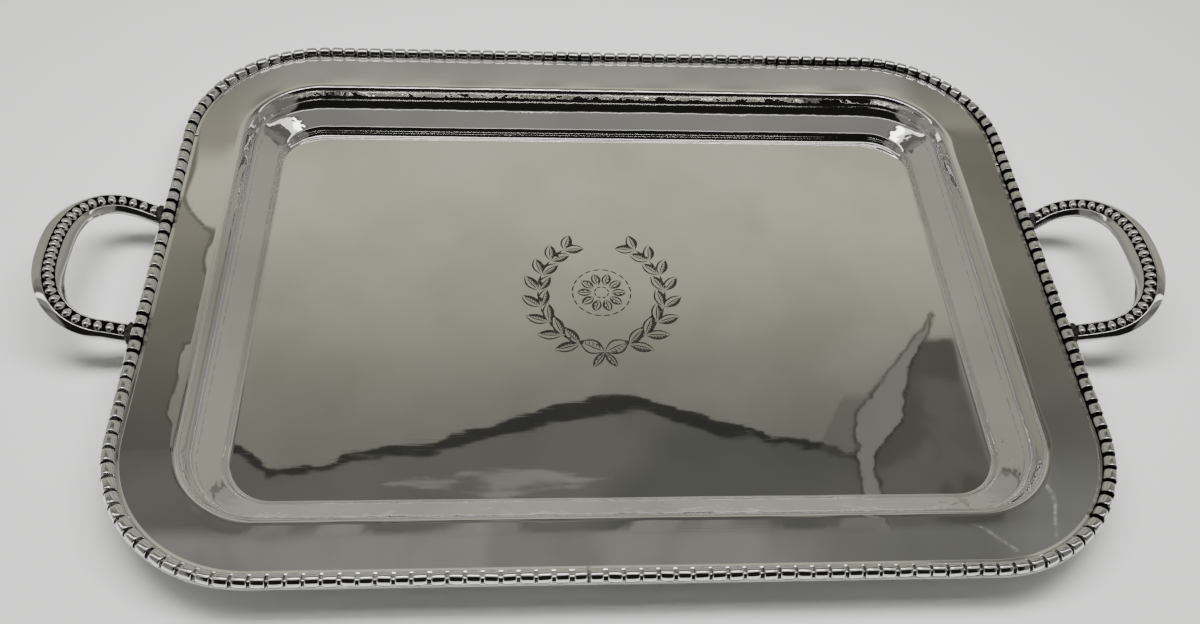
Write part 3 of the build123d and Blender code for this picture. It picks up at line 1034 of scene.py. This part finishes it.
def far_wall(n, a, b, way):
    """The pale wall behind the tray, brightest in the middle of its height, and its side screens."""
    near = n.mix(n.span(a, -0.15, 0.15), (0.192, 0.193, 0.163, 1), (0.180, 0.183, 0.158, 1))
    wall = n.mix(n.span(b, 0.56, 0.98), near, (0.555, 0.53, 0.43, 1))
    wall = n.mix(n.span(b, 1.04, 1.2), wall, (0.32, 0.322, 0.282, 1))
    wall = add_side_walls(n, wall, a, b, way)
    corner = n.times(n.span(a, 0.48, 0.54), n.span(b, 0.62, 0.50))
    return n.mix(corner, wall, (0.20, 0.203, 0.187, 1))


def add_ceiling(n, colour, a, b, way):
    """Smeared grey tones above the wall, which the front rim mirrors, and plain ones overhead."""
    smear = n.span(n.noise(way, 12.0, stretch=(1.0, 0.5, 1.0)), 0.38, 0.62)
    ceiling = n.mix(smear, (0.20, 0.20, 0.182, 1), (0.255, 0.254, 0.233, 1))
    ceiling = n.mix(n.span(a, 0.22, 0.40), ceiling, (0.155, 0.156, 0.146, 1))
    ceiling = n.mix(n.span(a, 0.46, 0.53), ceiling, (0.22, 0.222, 0.205, 1))
    colour = n.mix(n.span(b, 0.505, 0.48), colour, ceiling)
    colour = add_lines(n, colour, a, b, way)
    colour = n.mix(n.span(b, 0.40, 0.30), colour, (0.13, 0.13, 0.12, 1))
    past = n.band(b, (-0.36, -0.32), (-0.02, -0.06))
    return n.mix(past, colour, (0.25, 0.25, 0.235, 1))


def add_strips(n, colour, a, b):
    """A bright strip overhead, brightest in its middle, and a second strip nearer the camera."""
    wide = n.math("ABSOLUTE", a)
    overhead = n.band(b, (-0.022, -0.008), (0.20, 0.16))
    second = n.times(n.band(b, (-0.305, -0.295), (-0.245, -0.255)), n.span(wide, 0.75, 0.55))
    colour = n.mix(n.math("MAXIMUM", overhead, second), colour, (1.7, 1.7, 1.66, 1))
    middle = n.times(n.span(wide, 0.36, 0.30), overhead, n.span(b, 0.12, 0.10))
    return n.mix(middle, colour, (6.0, 6.0, 5.9, 1))


def add_low_tones(n, colour, x, y, z):
    """Plain tones low down all round, a dark area behind the camera and a bright horizon."""
    sideways = n.math("ABSOLUTE", x)
    foot = n.mix(n.span(sideways, 0.45, 0.7), (0.40, 0.398, 0.34, 1), (0.27, 0.272, 0.25, 1))
    colour = n.mix(n.span(z, 0.36, 0.24), colour, foot)
    dusk = n.times(n.span(y, -0.31, -0.40), n.span(z, 0.02, 0.05))
    colour = n.mix(dusk, colour, (0.20, 0.20, 0.185, 1))
    behind = n.times(dusk, n.span(sideways, 0.62, 0.50))
    colour = n.mix(behind, colour, (0.012, 0.012, 0.011, 1))
    horizon = n.times(n.span(z, 0.12, 0.04), n.span(y, -0.5, 0.2, 0.0, 0.7))
    return n.mix(horizon, colour, (0.75, 0.75, 0.72, 1))


def build_world():
    """Soft room round the tray."""
    world = bpy.data.worlds.new("room")
    bpy.context.scene.world = world
    world.use_nodes = True
    n = Nodes(world.node_tree)
    way = n.add("ShaderNodeTexCoord").outputs["Generated"]
    parts = n.add("ShaderNodeSeparateXYZ")
    n.link(way, parts.inputs["Vector"])
    x, y, z = parts.outputs
    up = n.math("MAXIMUM", z, 0.03)
    a = n.math("DIVIDE", x, up)
    b = n.math("DIVIDE", y, up)
    colour = far_wall(n, a, b, way)
    colour = add_hill(n, colour, a, b, way)
    colour = add_glint(n, colour, a, b, way)
    colour = add_drape(n, colour, a, b, way)
    colour = add_ceiling(n, colour, a, b, way)
    colour = add_strips(n, colour, a, b)
    colour = add_low_tones(n, colour, x, y, z)
    background = n.add("ShaderNodeBackground")
    n.link(colour, background.inputs["Color"])
    background.inputs["Strength"].default_value = 1.0
    output = n.add("ShaderNodeOutputWorld")
    n.link(background.outputs["Background"], output.inputs["Surface"])


def build_lamp():
    """Soft long light straight overhead, which the silver doesn't mirror."""
    data = bpy.data.lights.new("overhead", "AREA")
    data.shape = "RECTANGLE"
    data.size = LAMP_LENGTH
    data.size_y = LAMP_WIDTH
    data.energy = LAMP_WATTS
    lamp = bpy.data.objects.new("overhead", data)
    lamp.location = LAMP_PLACE
    lamp.visible_glossy = False
    bpy.context.collection.objects.link(lamp)


def build_table():
    """Flat floor that the tray stands on."""
    mesh = bpy.data.meshes.new("table_top")
    corners = [(x * TABLE_HALF, y * TABLE_HALF, 0) for x, y in ((-1, -1), (1, -1), (1, 1), (-1, 1))]
    mesh.from_pydata(corners, [], [(0, 1, 2, 3)])
    mesh.materials.append(make_table())
    table = bpy.data.objects.new("table_top", mesh)
    bpy.context.collection.objects.link(table)


def build_camera():
    """Camera where the photograph was taken from."""
    data = bpy.data.cameras.new("camera")
    data.lens = CAMERA_LENS
    data.sensor_width = SENSOR_WIDTH
    camera = bpy.data.objects.new("camera", data)
    right = Vector(CAMERA_RIGHT).normalized()
    back = -Vector(CAMERA_FORWARD).normalized()
    up = back.cross(right).normalized()
    turn = Matrix((right, up, back)).transposed().to_4x4()
    camera.matrix_world = Matrix.Translation(Vector(CAMERA_PLACE) * MM) @ turn
    bpy.context.collection.objects.link(camera)
    bpy.context.scene.camera = camera


# ---------------------------------------------------------------- the salver

sheet_silver = make_silver("sheet_silver", 0.12, 0.014, hammer=0.21)
border_silver = make_silver("border_silver", 0.03, 0.045)
handle_silver = make_silver("handle_silver", 0.06, 0.06)
groove_metal = make_dark_metal("groove_metal", *GROOVE_TONES, 0.38, 900.0)
solder_metal = make_dark_metal("solder_metal", *SOLDER_TONES, 0.42, 500.0)

build_tray(sheet_silver, groove_metal)
build_borders(border_silver)
for hand in HANDLES:
    build_handle(hand, "handle_" + hand, handle_silver)
    build_pearls(hand, "pearl_strip_" + hand, handle_silver)
    for end in ("back", "front"):
        build_solder("solder_" + hand + "_" + end, solder_metal)

build_world()
build_table()
build_lamp()
build_camera()
